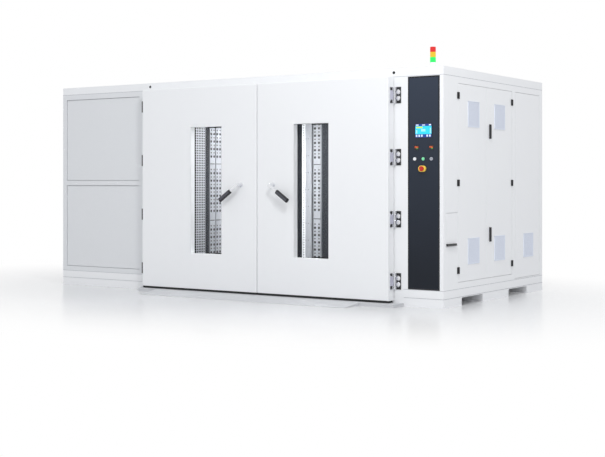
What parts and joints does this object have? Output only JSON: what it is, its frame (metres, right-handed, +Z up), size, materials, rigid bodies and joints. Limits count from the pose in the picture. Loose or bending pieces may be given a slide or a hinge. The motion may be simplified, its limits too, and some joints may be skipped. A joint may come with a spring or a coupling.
{
  "type": "walk-in environmental test chamber",
  "caption": "Walk-in climate test chamber: insulated room with two windowed doors, lever handles, side machine cabinet, control panel, signal tower and sill ramp.",
  "frame": {"origin": "middle of the body's footprint, on the underside of the plinth", "axes": "+Z up, the doors face -Y, +X runs to the right towards the machine cabinet"},
  "size_m": [5.02, 2.865, 2.502],
  "materials": {
    "white_paint": "fine textured powder coat",
    "light_grey_paint": "fine textured powder coat",
    "stainless": "brushed",
    "dark_liner": "satin",
    "chrome": "polished",
    "black_metal": "satin black",
    "black_rubber": "matt",
    "grip_plastic": "satin",
    "door_glass": "clear heated glass",
    "panel_glass": "gloss slate blue",
    "screen": "lit display",
    "device_black": "satin black",
    "bezel_metal": "satin chrome",
    "white_plastic": "gloss",
    "green_plastic": "gloss",
    "grey_plastic": "gloss",
    "red_plastic": "gloss",
    "yellow_plastic": "gloss",
    "coil_aluminium": "mill",
    "machine_black": "gloss black"
  },
  "bodies": {
    "cabinet": {"base_frame": "white_paint", "floor_slab": "white_paint", "rear_wall": "white_paint", "side_walls": "white_paint", "ceiling_slab": "white_paint", "roof_tray": "white_paint", "left_cabinet_frame": "light_grey_paint", "left_cabinet_panels": "light_grey_paint", "door_frame": "white_paint", "inner_liner": "dark_liner", "air_partition": "dark_liner", "air_panels": "stainless", "rack_uprights": "stainless", "machine_cabinet": "white_paint", "side_rear_panel": "white_paint", "control_panel": "panel_glass", "touch_screen": "screen", "limit_controllers": "device_black", "button_bezels": "bezel_metal", "estop_guard": "yellow_plastic", "tower_base": "white_plastic", "tower_green": "green_plastic", "tower_yellow": "yellow_plastic", "tower_red": "red_plastic", "sill_plate": "white_paint", "entry_ramp": "white_paint", "frame_hinges": "chrome", "side_hinges": "black_metal", "evaporator": "coil_aluminium", "heater_bank": "stainless", "fan_deck": "stainless", "compressors": "machine_black", "condenser": "coil_aluminium"},
    "left_door": {"left_door_leaf": "white_paint", "left_door_glass": "door_glass", "left_door_gasket": "black_rubber", "left_door_hinges": "chrome"},
    "left_handle": {"left_handle": "chrome", "left_handle_grip": "grip_plastic"},
    "left_upper_bolt": {"left_upper_bolt": "stainless"},
    "left_lower_bolt": {"left_lower_bolt": "stainless"},
    "right_door": {"right_door_leaf": "white_paint", "right_door_glass": "door_glass", "right_door_gasket": "black_rubber", "right_door_hinges": "chrome"},
    "right_handle": {"right_handle": "chrome", "right_handle_grip": "grip_plastic"},
    "right_upper_bolt": {"right_upper_bolt": "stainless"},
    "right_lower_bolt": {"right_lower_bolt": "stainless"},
    "side_door_front": {"side_door_front": "white_paint"},
    "side_door_rear": {"side_door_rear": "white_paint"},
    "side_handle_lower": {"side_handle_lower": "black_metal"},
    "side_handle_upper": {"side_handle_upper": "black_metal"},
    "side_flap": {"side_flap": "white_paint"},
    "button_white": {"button_white": "white_plastic"},
    "button_green": {"button_green": "green_plastic"},
    "button_grey": {"button_grey": "grey_plastic"},
    "estop_button": {"estop_button": "red_plastic"},
    "circulation_fan": {"circulation_fan": "coil_aluminium"},
    "condenser_fan": {"condenser_fan": "black_metal"}
  },
  "joints": [
    {"name": "left_door_swing", "type": "hinge", "parent": "cabinet", "child": "left_door", "pos_m": [-1.173, -1.207, 0], "axis": [0, 0, 1], "range_deg": [-90, 0]},
    {"name": "left_handle_turn", "type": "hinge", "parent": "left_door", "child": "left_handle", "pos_m": [0.195, -1.31, 1.168], "axis": [0, 1, 0], "range_deg": [-54, 0]},
    {"name": "left_upper_throw", "type": "slide", "parent": "left_door", "child": "left_upper_bolt", "axis": [0, 0, 1], "range_m": [0, 0.019]},
    {"name": "left_lower_throw", "type": "slide", "parent": "left_door", "child": "left_lower_bolt", "axis": [0, 0, -1], "range_m": [0, 0.019]},
    {"name": "right_door_swing", "type": "hinge", "parent": "cabinet", "child": "right_door", "pos_m": [1.977, -1.207, 0], "axis": [0, 0, 1], "range_deg": [0, 90]},
    {"name": "right_handle_turn", "type": "hinge", "parent": "right_door", "child": "right_handle", "pos_m": [0.609, -1.31, 1.168], "axis": [0, 1, 0], "range_deg": [0, 54]},
    {"name": "right_upper_throw", "type": "slide", "parent": "right_door", "child": "right_upper_bolt", "axis": [0, 0, 1], "range_m": [0, 0.019]},
    {"name": "right_lower_throw", "type": "slide", "parent": "right_door", "child": "right_lower_bolt", "axis": [0, 0, -1], "range_m": [0, 0.019]},
    {"name": "side_door_front_swing", "type": "hinge", "parent": "cabinet", "child": "side_door_front", "pos_m": [2.5063, -0.8865, 0], "axis": [0, 0, 1], "range_deg": [-90, 0]},
    {"name": "side_door_rear_swing", "type": "hinge", "parent": "cabinet", "child": "side_door_rear", "pos_m": [2.5063, 0.3765, 0], "axis": [0, 0, 1], "range_deg": [0, 110]},
    {"name": "side_handle_lower_turn", "type": "hinge", "parent": "side_door_rear", "child": "side_handle_lower", "pos_m": [2.5, -0.175, 0.667], "axis": [1, 0, 0], "range_deg": [-90, 0]},
    {"name": "side_handle_upper_turn", "type": "hinge", "parent": "side_door_rear", "child": "side_handle_upper", "pos_m": [2.5, -0.175, 1.711], "axis": [1, 0, 0], "range_deg": [-90, 0]},
    {"name": "side_flap_swing", "type": "hinge", "parent": "cabinet", "child": "side_flap", "pos_m": [2.495, -1.0195, 0.896], "axis": [0, 1, 0], "range_deg": [-80, 0]},
    {"name": "button_white_press", "type": "slide", "parent": "cabinet", "child": "button_white", "axis": [0, 1, 0], "range_m": [0, 0.003], "stiffness_N_per_m": 600},
    {"name": "button_green_press", "type": "slide", "parent": "cabinet", "child": "button_green", "axis": [0, 1, 0], "range_m": [0, 0.003], "stiffness_N_per_m": 600},
    {"name": "button_grey_press", "type": "slide", "parent": "cabinet", "child": "button_grey", "axis": [0, 1, 0], "range_m": [0, 0.003], "stiffness_N_per_m": 600},
    {"name": "estop_press", "type": "slide", "parent": "cabinet", "child": "estop_button", "axis": [0, 1, 0], "range_m": [0, 0.005]},
    {"name": "circulation_fan_spin", "type": "hinge", "parent": "cabinet", "child": "circulation_fan", "pos_m": [-1.631, 0, 1.4], "axis": [1, 0, 0], "continuous": true},
    {"name": "condenser_fan_spin", "type": "hinge", "parent": "cabinet", "child": "condenser_fan", "pos_m": [2.149, 0.435, 0.514], "axis": [1, 0, 0], "continuous": true}
  ],
  "couplings": [
    {"joint": "left_upper_throw", "follows": "left_handle_turn", "m_per_rad": -0.02},
    {"joint": "left_lower_throw", "follows": "left_handle_turn", "m_per_rad": -0.02},
    {"joint": "right_upper_throw", "follows": "right_handle_turn", "m_per_rad": 0.02},
    {"joint": "right_lower_throw", "follows": "right_handle_turn", "m_per_rad": 0.02}
  ]
}
